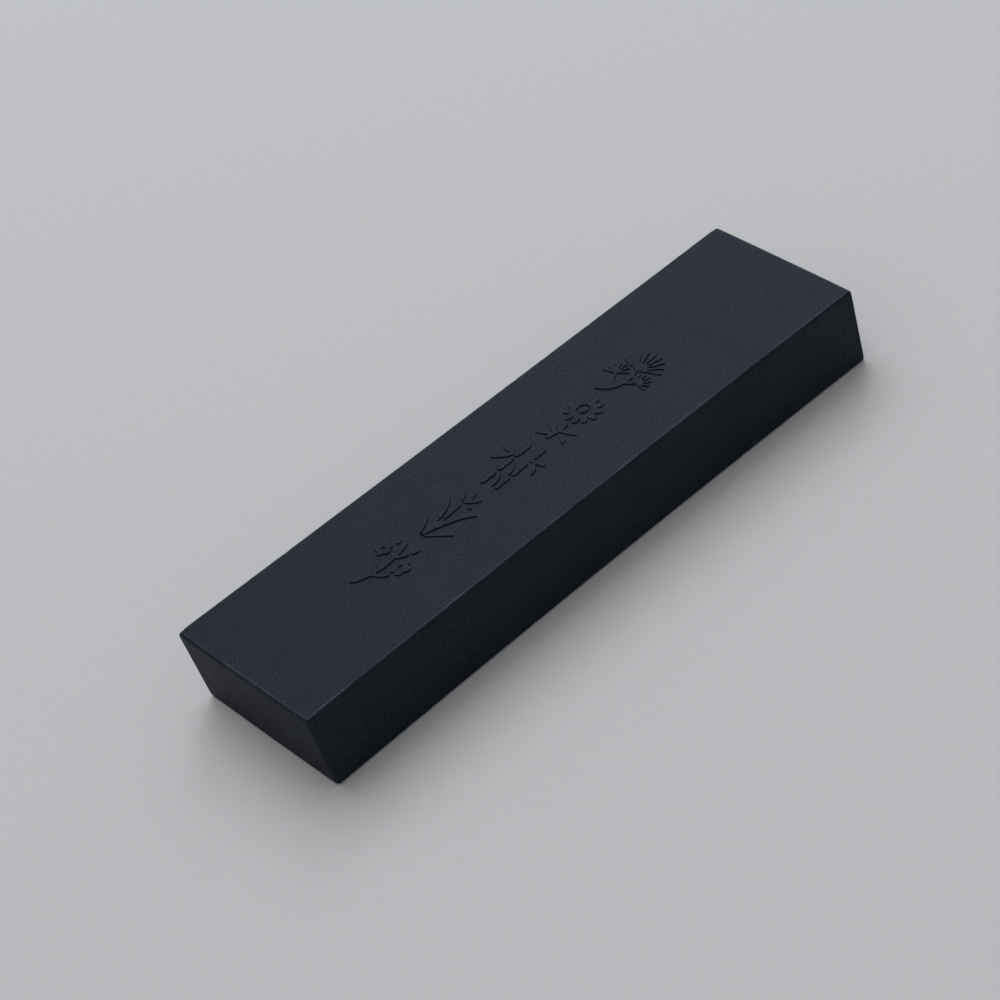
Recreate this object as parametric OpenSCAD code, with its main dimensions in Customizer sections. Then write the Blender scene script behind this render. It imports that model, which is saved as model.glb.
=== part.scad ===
// A pressed ink stick for brush writing: one oblong cake of soot and glue, with a row of
// five raised plant sprigs on its upper face. It lies on its back, along X. The origin is the
// middle of the face it rests on, and the end at -X is the one that is rubbed on the stone.

/* [Block] */
// Length of the stick, end to end
block_length = 88; // [75:1:150]
// Width of the stick across its long sides
block_width = 25; // [18:0.5:45]
// Thickness of the stick without its relief
block_height = 11; // [7:0.5:20]
// Width and height of the bevel that breaks every edge
edge_bevel = 0.3; // [0.1:0.05:1.5]

/* [Relief] */
// How far the sprigs stand above the upper face
relief_height = 0.16; // [0.1:0.02:0.8]
// Height of one sprig, measured along the stick
sprig_size = 8.8; // [6:0.1:9.2]
// Distance from one sprig's centre to the next
sprig_pitch = 10; // [9.5:0.25:12]
// How far the middle sprig lies from the middle of the stick
row_shift = -2.4; // [-6:0.1:6]

/* [Colours] */
// Colour of the ink cake
cake_colour = "#2a3038"; // ["#2a3038", "#1c1c20", "#33302c"]
// Colour of the raised sprigs, a little rubbed
relief_colour = "#353b44"; // ["#353b44", "#2a3038", "#b08d3c"]

/* [Hidden] */
// The sprigs are drawn on a grid, ten units high, that grows with sprig_size.
unit = sprig_size / 10;
// Number of spans along each side of a brush stroke
stroke_steps = 10;
// Places of the sprigs along the row, from the rubbing end
plum_place = -2;
orchid_place = -1;
bamboo_place = 0;
aster_place = 1;
pine_place = 2;

// ---- The block ----

// A rectangle a by b, centred, with its four corners cut off at 45 degrees
module bevelled_rectangle(a, b) {
    polygon([
        [-a / 2 + edge_bevel, -b / 2], [a / 2 - edge_bevel, -b / 2],
        [a / 2, -b / 2 + edge_bevel], [a / 2, b / 2 - edge_bevel],
        [a / 2 - edge_bevel, b / 2], [-a / 2 + edge_bevel, b / 2],
        [-a / 2, b / 2 - edge_bevel], [-a / 2, -b / 2 + edge_bevel]
    ]);
}

// The cake itself. Three crossed prisms leave all twelve edges bevelled.
module ink_block() {
    color(cake_colour)
        translate([0, 0, block_height / 2])
            intersection() {
                linear_extrude(block_height, center = true)
                    bevelled_rectangle(block_length, block_width);
                rotate([90, 0, 0])
                    linear_extrude(block_width, center = true)
                        bevelled_rectangle(block_length, block_height);
                rotate([90, 0, 90])
                    linear_extrude(block_length, center = true)
                        bevelled_rectangle(block_width, block_height);
            }
}

// ---- Brush strokes, the one shape that every sprig is made of ----

// A point of the curve that leaves a towards b and arrives at c, and the direction across it
function curve_point(a, b, c, t) = (1 - t) * (1 - t) * a + 2 * t * (1 - t) * b + t * t * c;
function curve_across(a, b, c, t) =
    let (along = (1 - t) * (b - a) + t * (c - b)) [-along.y, along.x] / norm(along);

// Share of the full width at a turn from 0 to 180 degrees. A high evenness keeps the width
// up to the ends, and an end power of 1/2 rounds them while 1 points them.
function swell(turn, evenness, end_power) = pow(1 - pow(abs(cos(turn)), evenness), end_power);

// One side of a stroke: side is 1 for the left edge and -1 for the right
function stroke_edge(a, b, c, wide, ending, evenness, end_power, side, turns) = [
    for (turn = turns)
        let (t = (1 - cos(turn)) / 2, taper = 1 + (ending - 1) * t)
        curve_point(a, b, c, t)
            + curve_across(a, b, c, t) * side * wide / 2 * taper * swell(turn, evenness, end_power)
];

// A brush stroke in grid units. Its far end is "ending" times as wide as its near one.
module stroke(a, b, c, wide, ending = 1, evenness = 2, end_power = 1 / 2) {
    step = 180 / stroke_steps;
    out = stroke_edge(a, b, c, wide, ending, evenness, end_power, 1, [0:step:180]);
    back = stroke_edge(a, b, c, wide, ending, evenness, end_power, -1, [180 - step:-step:step]);
    polygon(unit * concat(out, back));
}

// A stem or twig: even in width, with round ends
module stem(a, b, c, wide, ending = 1) {
    stroke(a, b, c, wide, ending, evenness = max(2, 2 * norm(c - a) / wide));
}

// A leaf: widest in its middle, and pointed at both ends
module leaf(a, b, c, wide) {
    stroke(a, b, c, wide, evenness = 2, end_power = 0.8);
}

// A plump bud or petal
module bud(a, c, wide) {
    stroke(a, (a + c) / 2, c, wide, evenness = 2.6);
}

function direction(angle) = [cos(angle), sin(angle)];

// Petals in a ring about a centre, from the inner radius to the outer one
module petals(centre, count, inner, outer, wide, first_angle = 90) {
    for (k = [0:count - 1]) {
        way = direction(first_angle + k * 360 / count);
        bud(centre + inner * way, centre + outer * way, wide);
    }
}

// A fan of needles that spreads about one angle
module needle_fan(foot, reach, middle_angle, spread, count, wide) {
    for (k = [0:count - 1]) {
        way = direction(middle_angle + spread * (k / (count - 1) - 1 / 2));
        stem(foot, foot + reach / 2 * way, foot + reach * way, wide, 0.7);
    }
}

// Raises a flat drawing on the upper face, at its place in the row. Every sprig grows
// towards +X, the end that the hand holds.
module raised_at(place) {
    color(relief_colour)
        translate([row_shift + place * sprig_pitch, 0, block_height])
            rotate([0, 0, -90])
                linear_extrude(relief_height)
                    children();
}

// ---- The sprigs ----

// A bent branch with two five-petalled blossoms and two buds
module plum_sprig() {
    raised_at(plum_place) {
        stem([-1.5, -5], [1.6, -1.6], [-0.5, 4.4], 0.95, 0.55);
        stem([-0.2, -2.3], [1.6, -2.2], [2.3, -0.9], 0.6, 0.7);
        stem([0.1, -0.8], [-1.2, -0.8], [-1.9, 0.2], 0.55, 0.7);
        stem([0.1, 1.5], [1.1, 2], [1.5, 3.1], 0.5, 0.7);
        petals([2.5, 0.8], 5, 0.35, 1.5, 1.15);
        petals([-2.4, 1.7], 5, 0.3, 1.3, 1, 70);
        bud([1.5, 3.3], [1.9, 4.6], 1);
        bud([-1.5, 3.4], [-1.9, 4.3], 0.7);
    }
}

// A tuft of long curved leaves with one open flower on a thin stalk
module orchid_sprig() {
    raised_at(orchid_place) {
        leaf([-0.2, -5], [-0.4, 1.2], [-3.7, 2.6], 0.95);
        leaf([0.1, -5], [1, 1], [3.8, 1.9], 1);
        leaf([-0.4, -4.9], [-2, -2], [-4, -1.4], 0.85);
        leaf([0.4, -4.9], [2, -3], [4, -2.3], 0.85);
        stem([0, -4.6], [0.4, -1], [-0.1, 2.2], 0.45);
        leaf([-0.1, 2.5], [0.2, 3.8], [0, 5], 0.85);
        leaf([0.2, 2.6], [1, 3.8], [2, 4.2], 0.75);
        leaf([-0.4, 2.6], [-1.2, 3.8], [-2.2, 4.1], 0.75);
        bud([1.1, 2.2], [1.9, 2.6], 0.6);
    }
}

// Two jointed canes, one thick and one thin, with drooping leaves
module bamboo_sprig() {
    cane_joints = [-5, -1.9, 1.3, 4.6];
    joint_gap = 0.3;
    raised_at(bamboo_place) {
        for (k = [0:2]) {
            foot = cane_joints[k] + joint_gap / 2;
            head = cane_joints[k + 1] - joint_gap / 2;
            stem([-1.1, foot], [-1, (foot + head) / 2], [-1.1, head], 0.95);
            stem([1.7, foot + 0.4], [1.6, (foot + head) / 2], [1.6, head + 0.4], 0.6);
        }
        leaf([-1.5, 1.4], [-2.6, 1.2], [-3.9, -0.6], 0.95);
        leaf([-1.5, 1.6], [-2.8, 2.4], [-4.2, 1.9], 0.9);
        leaf([-0.5, -1.8], [0.2, -2.6], [0.9, -4.4], 0.85);
        leaf([2, 1.8], [3, 1.6], [4, 0], 0.9);
        leaf([2, 2.1], [3.1, 2.7], [4.2, 2.4], 0.85);
        leaf([1.3, -1.4], [0.4, -1], [-0.1, 0.8], 0.8);
    }
}

// A many-petalled aster on a leafy stalk
module aster_sprig() {
    flower = [0, 2];
    raised_at(aster_place) {
        translate(unit * flower)
            circle(r = 0.65 * unit, $fn = 24);
        petals(flower, 11, 0.95, 2.9, 0.95);
        stem([0.1, -1.1], [0.7, -3], [-0.3, -5], 0.55);
        leaf([0.6, -3], [1.6, -2], [3.2, -2.2], 1);
        leaf([0.6, -3.3], [2, -3.6], [2.9, -4.5], 0.8);
        leaf([0.1, -3.7], [-1.2, -2.2], [-2.8, -2.3], 1);
        leaf([-0.1, -4], [-1.4, -4], [-2.6, -4.9], 0.8);
    }
}

// A crooked bough with three fans of needles
module pine_sprig() {
    needle = 0.36;
    raised_at(pine_place) {
        stem([-2.6, -5], [1.6, -4], [0.3, 0.6], 1, 0.6);
        stem([-0.4, -3.6], [-1.6, -2.6], [-2, -1.2], 0.6, 0.7);
        stem([0.7, -2.2], [1.6, -2], [2.2, -1.2], 0.55, 0.7);
        needle_fan([0.3, 0.7], 3.9, 92, 150, 9, needle);
        needle_fan([-2.2, -1.4], 2.2, 110, 160, 7, needle);
        needle_fan([2.3, -1.4], 2.1, 70, 160, 7, needle);
    }
}

ink_block();
plum_sprig();
orchid_sprig();
bamboo_sprig();
aster_sprig();
pine_sprig();
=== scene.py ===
# %% [markdown]
# # A pressed ink stick
# An ink stick is soot and animal glue, kneaded to a dough, pressed in a wooden mould, dried for
# months and rubbed to a soft polish. It is one solid cake: no lid, no core, nothing that moves.
# So the whole lesson is about a plain block that has to look touched by hand. Its edges are
# broken by a fine bevel, its sides have drawn in a little while drying, and a row of plant
# sprigs stands up from its face by less than the thickness of two sheets of paper.
#
# The measured model comes first. Every size and place that follows is read from it, so that
# the looks stay right when the model changes.

# %% Load the measured model
import math
import random

import bmesh
import bpy
from mathutils import Matrix, Vector, noise


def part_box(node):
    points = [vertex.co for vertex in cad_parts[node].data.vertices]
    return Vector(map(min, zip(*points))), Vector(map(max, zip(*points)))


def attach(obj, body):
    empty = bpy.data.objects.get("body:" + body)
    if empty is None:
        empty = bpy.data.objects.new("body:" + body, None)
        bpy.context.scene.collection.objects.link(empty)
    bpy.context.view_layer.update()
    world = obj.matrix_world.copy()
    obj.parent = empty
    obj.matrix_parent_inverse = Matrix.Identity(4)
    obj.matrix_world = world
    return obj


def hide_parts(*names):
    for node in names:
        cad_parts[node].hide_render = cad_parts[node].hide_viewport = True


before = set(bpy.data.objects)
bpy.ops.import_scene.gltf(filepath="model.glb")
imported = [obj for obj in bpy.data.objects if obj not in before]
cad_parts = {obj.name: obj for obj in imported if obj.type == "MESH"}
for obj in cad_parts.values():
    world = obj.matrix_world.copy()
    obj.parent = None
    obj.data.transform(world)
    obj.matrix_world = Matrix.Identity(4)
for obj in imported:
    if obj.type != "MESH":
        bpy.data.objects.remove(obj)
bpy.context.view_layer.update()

MM = 0.001  # one millimetre, in the metres that every mesh here is made in
SPRIGS = [name for name in sorted(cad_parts) if name.endswith("_sprig")]

low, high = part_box("ink_block")
size = high - low
middle = (low + high) / 2
relief_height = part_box(SPRIGS[0])[1].z - high.z

print("cake, mm:", [round(side / MM, 2) for side in size])
print("relief, mm:", round(relief_height / MM, 3), "on", len(SPRIGS), "sprigs")

# %% [markdown]
# ## From a mesh in code to a piece of the model
# Every piece here ends the same way: the bmesh becomes a mesh with smooth shading, the mesh
# becomes an object at the origin, and the object rides on the model's only body. One helper
# does that, so that no piece can be left out or left behind.

# %% Turn a bmesh into a finished piece
def finish_piece(name, shape, replaced_node):
    """Makes an object from a bmesh, and hides the piece of the measured model that it replaces."""
    bmesh.ops.recalc_face_normals(shape, faces=shape.faces)
    for face in shape.faces:
        face.smooth = True
    mesh = bpy.data.meshes.new(name)
    shape.to_mesh(mesh)
    shape.free()
    piece = bpy.data.objects.new(name, mesh)
    bpy.context.scene.collection.objects.link(piece)
    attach(piece, "root")
    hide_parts(replaced_node)
    print(name, "faces:", len(mesh.polygons))
    return piece


# %% [markdown]
# ## The cake
# The mould gives the cake its box shape, and after it a plane takes off the sharp corner of
# each edge. A cube with a modifier would do for a distant view, but a worn edge needs points to
# move. So the cube is cut into a fine net first, and then only the twelve long creases are
# bevelled: once for the flat that the plane leaves, and once more, much smaller, for the two
# shoulders of that flat, which months of handling have softened. Those shoulders are what
# catches the light as a thin bright line.
#
# A shoulder is also the best polished place on the cake, because the cloth bears hardest there.
# A painted mask could say so, but it would have to be painted again for every size. So each
# point gets a number, 1 on the shoulders and 0 off them, worked out from where it lies. The
# material reads it later under the name of rubbed.

# %% Cut the box into a fine net
NET = 0.5 * MM  # side of one cell of the net, wider than a bevel and its shoulder

cake = bmesh.new()
bmesh.ops.create_cube(cake, size=1)
bmesh.ops.scale(cake, vec=size, verts=cake.verts)
bmesh.ops.translate(cake, vec=middle, verts=cake.verts)
for axis in range(3):
    along_axis = [
        edge for edge in cake.edges
        if abs(edge.verts[0].co[axis] - edge.verts[1].co[axis]) > NET
        and edge.calc_length() > size[axis] - NET
    ]
    cells = round(size[axis] / NET)
    bmesh.ops.subdivide_edges(cake, edges=along_axis, cuts=cells - 1, use_grid_fill=True)
print("net:", len(cake.faces), "faces")

# %% Plane off the edges, and soften the shoulders of the flats
BEVEL = 0.3 * MM  # width of the flat on either side of the edge it replaces
SHOULDER = 0.1 * MM  # rounding where the flat meets a face
BOX_CREASE = 60  # degrees; the box's own edges turn by 90, and nothing else by more than this
FLAT_CREASE = 25  # degrees; the edges of the flats turn by 45, and by 35 at the corners


def creases(shape, angle):
    """The edges at which a shape turns by more than an angle in degrees."""
    return [edge for edge in shape.edges if edge.calc_face_angle(0) > math.radians(angle)]


bmesh.ops.bevel(cake, geom=creases(cake, BOX_CREASE), offset=BEVEL, offset_type="OFFSET",
                affect="EDGES", segments=1, profile=0.5, material=-1)
bmesh.ops.bevel(cake, geom=creases(cake, FLAT_CREASE), offset=SHOULDER, offset_type="OFFSET",
                affect="EDGES", segments=3, profile=0.5, material=-1)
print("bevelled:", len(cake.faces), "faces")

# %% Mark where the rubbing has polished the rim of the two broad faces
RUBBED_REACH = 0.15 * MM  # where the polish ends; it is full up to half as far out


def insets(place):
    """How far a place lies inside the nearer of the box's two faces, for x, y and z."""
    return [min(place[i] - low[i], high[i] - place[i]) for i in range(3)]


rubbed = cake.verts.layers.float.new("rubbed")
for point in cake.verts:
    inset_x, inset_y, inset_z = insets(point.co)
    from_shoulder = max(abs(min(inset_x, inset_y) - BEVEL), inset_z)
    point[rubbed] = min(1.0, max(0.0, 2 - 2 * from_shoulder / RUBBED_REACH))
print("polished points:", sum(point[rubbed] > 0 for point in cake.verts))

# %% [markdown]
# ## Drying and wear
# A fresh cake is a perfect print of its mould, a dry one isn't. Water leaves the middle of the
# long sides last, and they end up slightly hollow. The two loose blocks that close a mould's
# ends never sit quite square, so the cake is a little longer along one side than along the
# other, and one end leans. Broad faces are never quite flat, and corners and edges lose crumbs.
#
# Sculpting would do, but it can't be repeated or measured. All of this is a rule for where a
# point goes, so it is done by moving the points of the finished net.

# %% Draw the sides in, lean the ends, and let the faces roll a little
HOLLOW_FRONT = 0.42 * MM  # how far the side at -Y has drawn in at its middle
HOLLOW_BACK = 0.1 * MM  # the same for the side at +Y
END_CROWN = 0.05 * MM  # how far the ends' corners stand back from their middle
NEAR_LEAN = 0.4 * MM  # how far the end at -X runs in from its top to its bottom
NEAR_SKEW = 0.48 * MM  # how far the end at -X is out of square: out at +Y, in at -Y
FAR_SKEW = 0.51 * MM  # the same for the end at +X
ROLL = 0.02 * MM  # depth of the slow waves on every face, which only go inwards
ROLL_LENGTH = 15 * MM  # length of those waves

for point in cake.verts:
    along = (point.co.x - middle.x) / (size.x / 2)
    across = (point.co.y - middle.y) / (size.y / 2)
    depth = (high.z - point.co.z) / size.z
    hollow = HOLLOW_FRONT if across < 0 else HOLLOW_BACK
    skew = NEAR_SKEW if along < 0 else FAR_SKEW
    wave = (1 + noise.noise(point.co / ROLL_LENGTH)) / 2
    point.co.y -= across * hollow * (1 - along ** 2)
    point.co.x -= along * END_CROWN * across ** 2
    point.co.x += max(0.0, -along) * NEAR_LEAN * depth
    point.co.x += along * across * skew
    point.co -= point.normal * ROLL * wave
print("ends now reach, mm:", round(min(point.co.x for point in cake.verts) / MM, 2), "and",
      round(max(point.co.x for point in cake.verts) / MM, 2))

# %% Chip the edges and wear the corners
EDGE_ZONE = 1.2 * MM  # how far in from the edges a dent may move points
NICKS = 90
NICK_RADIUS = (0.4 * MM, 1.0 * MM)
NICK_DENT = (0.01 * MM, 0.04 * MM)
CORNER_RADIUS = 1.0 * MM
CORNER_DENT = (0.06 * MM, 0.14 * MM)
LENGTHWISE = 0.1  # how much of a dent's push along the stick is kept
random.seed(88)


def on_an_edge(point):
    """True where a point is close to two of the cake's faces."""
    return sum(inset < EDGE_ZONE for inset in insets(point.co)) >= 2


def press_in(points, centre, radius, dent):
    """Pushes the points near a centre towards the middle of the cake's section."""
    inward = middle - centre
    inward.x *= LENGTHWISE
    inward.normalize()
    for point in points:
        share = 1 - (point.co - centre).length / radius
        if share > 0:
            point.co += inward * dent * share ** 2 * (3 - 2 * share)


edge_points = [point for point in cake.verts if on_an_edge(point)]
for _ in range(NICKS):
    centre = random.choice(edge_points).co.copy()
    radius = random.uniform(*NICK_RADIUS)
    press_in(edge_points, centre, radius, random.uniform(*NICK_DENT))
for x in (low.x, high.x):
    for y in (low.y, high.y):
        for z in (low.z, high.z):
            press_in(edge_points, Vector((x, y, z)), CORNER_RADIUS, random.uniform(*CORNER_DENT))

cake_piece = finish_piece("ink_cake", cake, "ink_block")

# %% [markdown]
# ## The raised sprigs
# The mould's carver cut each sprig as a set of grooves, and the dough filled them. What stands
# up is therefore round-shouldered and a little slack, never as sharp as the drawing. The
# measured model already has each sprig as flat strokes of the right outline, so a copy of it is
# the start. A bevel can't round strokes that cross, because their walls cut through each other.
# A voxel skin over the copy joins them first, and a few rounds of smoothing let the skin sag
# like pressed dough. The foot goes down into the cake before that, so that the rounding there
# stays out of sight. The cloth polishes the strokes' shoulders as it does the rim, so the
# points there are marked as rubbed too.
#
# The skin is made at a thousand times the size, in metres for millimetres, because a voxel in
# Blender can't be smaller than a tenth of a millimetre.

# %% Give each sprig a soft skin
WELD = 0.001 * MM  # points closer than this are one
FOOT = 0.22 * MM  # how deep a sprig reaches into the cake
VOXEL = 0.05 * MM  # side of one cell of the skin
SLACK = 4  # rounds of smoothing
ENLARGED = 1 / MM
LEVEL = 0.98  # upward share of a normal from which a point counts as on the flat of a stroke


def skinned(shape, name):
    """A copy of a shape with one closed voxel skin over all of it."""
    bmesh.ops.scale(shape, vec=[ENLARGED] * 3, verts=shape.verts)
    rough_mesh = bpy.data.meshes.new(name + "_rough")
    shape.to_mesh(rough_mesh)
    shape.free()
    rough = bpy.data.objects.new(name + "_rough", rough_mesh)
    bpy.context.scene.collection.objects.link(rough)
    skin = rough.modifiers.new("Skin", "REMESH")
    skin.mode = "VOXEL"
    skin.voxel_size = VOXEL * ENLARGED
    bpy.context.view_layer.update()
    result = bmesh.new()
    result.from_object(rough, bpy.context.evaluated_depsgraph_get())
    bpy.data.objects.remove(rough)
    bpy.data.meshes.remove(rough_mesh)
    return result


def raised_sprig(node):
    """The moulded form of one of the measured model's sprigs."""
    strokes = bmesh.new()
    strokes.from_mesh(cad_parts[node].data)
    bmesh.ops.remove_doubles(strokes, verts=strokes.verts, dist=WELD)
    for point in strokes.verts:
        if point.co.z < high.z + relief_height / 2:
            point.co.z -= FOOT
    sprig = skinned(strokes, node)
    for _ in range(SLACK):
        bmesh.ops.smooth_vert(sprig, verts=sprig.verts, factor=0.5,
                              use_axis_x=True, use_axis_y=True, use_axis_z=True)
    bmesh.ops.scale(sprig, vec=[MM] * 3, verts=sprig.verts)
    sprig.normal_update()
    rubbed = sprig.verts.layers.float.new("rubbed")
    for point in sprig.verts:
        if point.co.z > high.z + relief_height / 2 and point.normal.z < LEVEL:
            point[rubbed] = 1.0
    top = max(point.co.z for point in sprig.verts)
    print(node, "stands", round((top - high.z) / MM, 3), "mm proud")
    return finish_piece("raised_" + node, sprig, node)


sprig_pieces = [raised_sprig(node) for node in SPRIGS]

# %% [markdown]
# ## Two helpers for materials
# Colours are picked as sRGB hex values, which is how a colour chart gives them, and shaders
# mix in linear light. One function turns the first into the second. The other adds a node
# with its settings and its links in one line, so that a material reads from top to bottom.

# %% Colour and node helpers
def linear(hex_colour):
    """An sRGB hex colour as the linear red, green, blue and alpha that a shader wants."""
    channels = [int(hex_colour[i:i + 2], 16) / 255 for i in (1, 3, 5)]
    return [c / 12.92 if c <= 0.04045 else ((c + 0.055) / 1.055) ** 2.4 for c in channels] + [1]


def add_node(material, kind, inputs=None, **settings):
    """Adds a node. An input is a value, or another node's output socket to link from."""
    made = material.node_tree.nodes.new(kind)
    for name, value in settings.items():
        setattr(made, name, value)
    for name, value in (inputs or {}).items():
        if isinstance(value, bpy.types.NodeSocket):
            material.node_tree.links.new(value, made.inputs[name])
        else:
            made.inputs[name].default_value = value
    return made


def new_material(name):
    """An empty node material."""
    material = bpy.data.materials.new(name)
    material.use_nodes = True
    material.node_tree.nodes.clear()
    return material


def per_metre(length):
    """The Scale of a texture whose features are about this long."""
    return 1 / length


# %% [markdown]
# ## Pine-soot ink, pressed and rubbed
# Pine soot is coarser than lamp soot and has a cool, bluish cast. Bound with glue and rubbed
# with a shell or a waxed cloth, it has a satin gloss: about as glossy as a slate, with the
# index of refraction of dry glue, a little over 1.5. Almost no light comes back from inside
# it, so what the eye reads is the gloss.
#
# The skin isn't closed everywhere. Between the polished lumps lie open pores that only scatter
# light. One shader with a medium roughness would look like plastic, so two are mixed: a
# principled one for the gloss and a diffuse one for the pores. The share of gloss is where the
# detail goes: a fine grain from the soot, slow clouds from kneading, and nearly closed, smooth
# skin on the rubbed shoulders. A bump from the same grain breaks up the highlights.

# %% Mix the ink
GRAIN = 0.22 * MM  # soot lumps are far finer, and are drawn as coarse as they need to show
GRAIN_DEPTH = 0.05 * MM  # height of the grain's bump, coarser than real in the same way
CLOUD = 5 * MM  # size of the kneading clouds
EDGE_SMOOTHING = -0.28  # change of roughness where the polish is full
EDGE_CLOSING = 0.5  # gain in the share of gloss there
CLOUD_CLOSING = 0.17  # gain in it from the dullest to the shiniest of the clouds


def pressed_ink(name):
    """Satin pine-soot ink: a cool near-black that shows a soft grey-blue sheen of the window."""
    ink = new_material(name)

    # Patterns: the soot's grain, the kneading clouds, and the rubbed edges, broken up by clouds.
    place = add_node(ink, "ShaderNodeTexCoord").outputs["Object"]
    grain = add_node(ink, "ShaderNodeTexNoise", {
        "Vector": place, "Scale": per_metre(GRAIN), "Detail": 2, "Roughness": 0.6})
    cloud = add_node(ink, "ShaderNodeTexNoise", {
        "Vector": place, "Scale": per_metre(CLOUD), "Detail": 4, "Roughness": 0.6})
    rubbed_here = add_node(ink, "ShaderNodeAttribute", attribute_name="rubbed").outputs["Fac"]
    patchy = add_node(ink, "ShaderNodeMapRange", {
        "Value": cloud.outputs["Fac"], "From Min": 0.35, "From Max": 0.65,
        "To Min": 0.3, "To Max": 1.0})
    edges = add_node(ink, "ShaderNodeMath", {
        0: rubbed_here, 1: patchy.outputs["Result"]}, operation="MULTIPLY").outputs[0]

    # Body colour: nearly black, so the grain only shows in it as faint specks.
    tone = add_node(ink, "ShaderNodeMix", {
        "Factor": cloud.outputs["Fac"], "A": linear("#0c0d10"), "B": linear("#121418")},
        data_type="RGBA")
    speckled = add_node(ink, "ShaderNodeMix", {
        "Factor": grain.outputs["Fac"], "A": tone.outputs["Result"], "B": linear("#1e2126")},
        data_type="RGBA")

    # Roughness, and how much of the skin is closed and glossy instead of open pores.
    base_roughness = add_node(ink, "ShaderNodeMapRange", {
        "Value": cloud.outputs["Fac"], "From Min": 0.3, "From Max": 0.7,
        "To Min": 0.48, "To Max": 0.51})
    at_edges = add_node(ink, "ShaderNodeMath", {
        0: edges, 1: EDGE_SMOOTHING, 2: base_roughness.outputs["Result"]},
        operation="MULTIPLY_ADD")
    closed = add_node(ink, "ShaderNodeMapRange", {
        "Value": grain.outputs["Fac"], "From Min": 0.35, "From Max": 0.65,
        "To Min": 0.21, "To Max": 0.49})
    kneaded = add_node(ink, "ShaderNodeMath", {
        0: cloud.outputs["Fac"], 1: CLOUD_CLOSING, 2: closed.outputs["Result"]},
        operation="MULTIPLY_ADD")
    polished = add_node(ink, "ShaderNodeMath", {
        0: edges, 1: EDGE_CLOSING, 2: kneaded.outputs[0]}, operation="MULTIPLY_ADD")

    # Gloss and pores over the same bump.
    skin = add_node(ink, "ShaderNodeBump", {
        "Height": grain.outputs["Fac"], "Strength": 1.0, "Distance": GRAIN_DEPTH})
    gloss = add_node(ink, "ShaderNodeBsdfPrincipled", {
        "Base Color": speckled.outputs["Result"], "Roughness": at_edges.outputs[0],
        "Normal": skin.outputs["Normal"], "IOR": 1.52, "Specular Tint": linear("#c9dffc")})
    pores = add_node(ink, "ShaderNodeBsdfDiffuse", {
        "Color": speckled.outputs["Result"], "Normal": skin.outputs["Normal"]})
    surface = add_node(ink, "ShaderNodeMixShader", {0: polished.outputs[0]})
    ink.node_tree.links.new(pores.outputs["BSDF"], surface.inputs[1])
    ink.node_tree.links.new(gloss.outputs["BSDF"], surface.inputs[2])
    add_node(ink, "ShaderNodeOutputMaterial", {"Surface": surface.outputs["Shader"]})
    return ink


# The relief has a material of its own, so that it can be gilded without touching the cake.
cake_piece.data.materials.append(pressed_ink("pine_soot_ink_rubbed"))
relief_ink = pressed_ink("pine_soot_ink_moulded")
for sprig_piece in sprig_pieces:
    sprig_piece.data.materials.append(relief_ink)
print("finished in", cake_piece.data.materials[0].name, "and", relief_ink.name)

# %% [markdown]
# ## The table it lies on
# A plain pale sheet of smooth matt card, wide enough that no edge shows from any side. It gives
# the eye an even ground without reflections of its own. A coloured cloth would tint the sides
# of the ink, and a white sheet would outshine it, so the card is a light warm grey. It belongs
# to the stage, not to the stick.

# %% Lay the floor
FLOOR_HALF = 2.5  # metres from the middle of the card to its edges
FIBRE = 1.5 * MM  # size of the faint flecks in the card

floor_shape = bmesh.new()
bmesh.ops.create_grid(floor_shape, x_segments=1, y_segments=1, size=FLOOR_HALF)
bmesh.ops.translate(floor_shape, vec=(0, 0, low.z), verts=floor_shape.verts)
floor_mesh = bpy.data.meshes.new("floor")
floor_shape.to_mesh(floor_mesh)
floor_shape.free()
floor = bpy.data.objects.new("floor", floor_mesh)
bpy.context.scene.collection.objects.link(floor)

card = new_material("pale_card_matt")
card_fibre = add_node(card, "ShaderNodeTexNoise", {
    "Vector": add_node(card, "ShaderNodeTexCoord").outputs["Object"],
    "Scale": per_metre(FIBRE), "Detail": 3})
card_tone = add_node(card, "ShaderNodeMix", {
    "Factor": card_fibre.outputs["Fac"], "A": linear("#d9d6d1"), "B": linear("#dedbd6")},
    data_type="RGBA")
card_surface = add_node(card, "ShaderNodeBsdfPrincipled", {
    "Base Color": card_tone.outputs["Result"], "Roughness": 0.9})
add_node(card, "ShaderNodeOutputMaterial", {"Surface": card_surface.outputs["BSDF"]})
floor_mesh.materials.append(card)
print("floor:", 2 * FLOOR_HALF, "m wide, at the height", round(low.z / MM, 3), "mm")

# %% [markdown]
# ## Light
# The top of a dark satin block shows whatever lies in the mirror direction. A wide, soft window
# high up behind it puts an even slate sheen there, lights the thin shoulders of the bevels, and
# leaves the two near sides in their own dark. A small patch of bright wall, lower and to the
# right of the window, gives the far end a little more sheen than the near one. A dim, even sky
# fills the rest. A spot or a sun would only show as a hard highlight on such a surface.

# %% Hang the lights
DAYLIGHT = "#f2f6ff"
SKY = "#dfe6ee"


def direction(azimuth, elevation):
    """The unit vector towards a compass direction and a height above the floor, in degrees."""
    a, e = math.radians(azimuth), math.radians(elevation)
    return Vector((math.sin(a) * math.cos(e), -math.cos(a) * math.cos(e), math.sin(e)))


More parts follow.
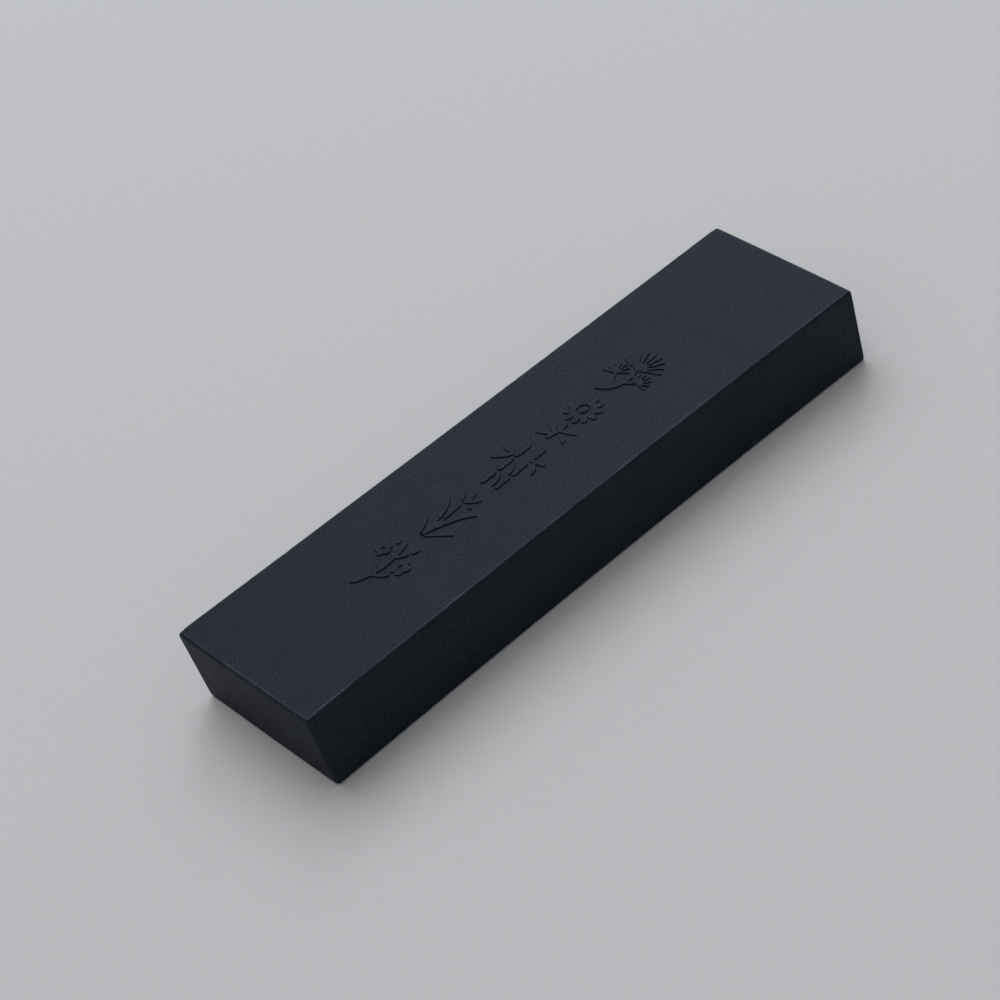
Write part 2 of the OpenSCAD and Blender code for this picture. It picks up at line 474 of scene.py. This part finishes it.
def soft_light(name, azimuth, elevation, distance, width, power):
    """A square light in metres and watts that faces the cake. Azimuth 0 is from -Y, 90 from +X."""
    lamp = bpy.data.lights.new(name, "AREA")
    lamp.size = width
    lamp.energy = power
    lamp.color = linear(DAYLIGHT)[:3]
    away = direction(azimuth, elevation)
    holder = bpy.data.objects.new(name, lamp)
    holder.location = middle + away * distance
    holder.rotation_euler = away.to_track_quat("Z", "Y").to_euler()
    bpy.context.scene.collection.objects.link(holder)
    print(name, "hangs at, m:", [round(value, 2) for value in holder.location])


soft_light("window", azimuth=156, elevation=60, distance=2.0, width=1.8, power=19.8)
soft_light("far_wall", azimuth=136, elevation=36, distance=1.0, width=0.35, power=0.9)

world = bpy.data.worlds.new("studio")
world.use_nodes = True
sky = world.node_tree.nodes["Background"]
sky.inputs["Color"].default_value = linear(SKY)
sky.inputs["Strength"].default_value = 0.45
bpy.context.scene.world = world
bpy.context.scene.view_settings.view_transform = "Standard"

# %% [markdown]
# ## Camera
# A fairly long lens from the near left looks down at the stick from reading distance, where the
# far end looks only a little smaller than the near one. The camera is turned a little on its
# own axis so that the stick runs from corner to corner.

# %% Aim the camera
AIM = Vector((-4.09, 2.46, 5.5)) * MM  # near the middle of the stick, at half its height
CAMERA_AZIMUTH = -28.14  # degrees, to the left of -Y
CAMERA_ELEVATION = 39.36  # degrees above the floor
CAMERA_DISTANCE = 275 * MM
CAMERA_TURN = -19.11  # degrees about its own axis
LENS = 82.3  # focal length in millimetres, on a frame 36 mm wide
CLIP_START = 10 * MM  # nothing nearer to the camera is drawn

towards_camera = direction(CAMERA_AZIMUTH, CAMERA_ELEVATION)
camera = bpy.data.objects.new("camera", bpy.data.cameras.new("camera"))
camera.data.lens = LENS
camera.data.clip_start = CLIP_START
level = towards_camera.to_track_quat("Z", "Y").to_matrix().to_4x4()
turned = Matrix.Rotation(math.radians(CAMERA_TURN), 4, "Z")
camera.matrix_world = Matrix.Translation(AIM + towards_camera * CAMERA_DISTANCE) @ level @ turned
bpy.context.scene.collection.objects.link(camera)
bpy.context.scene.camera = camera
print("camera at, mm:", [round(value / MM) for value in camera.matrix_world.translation])
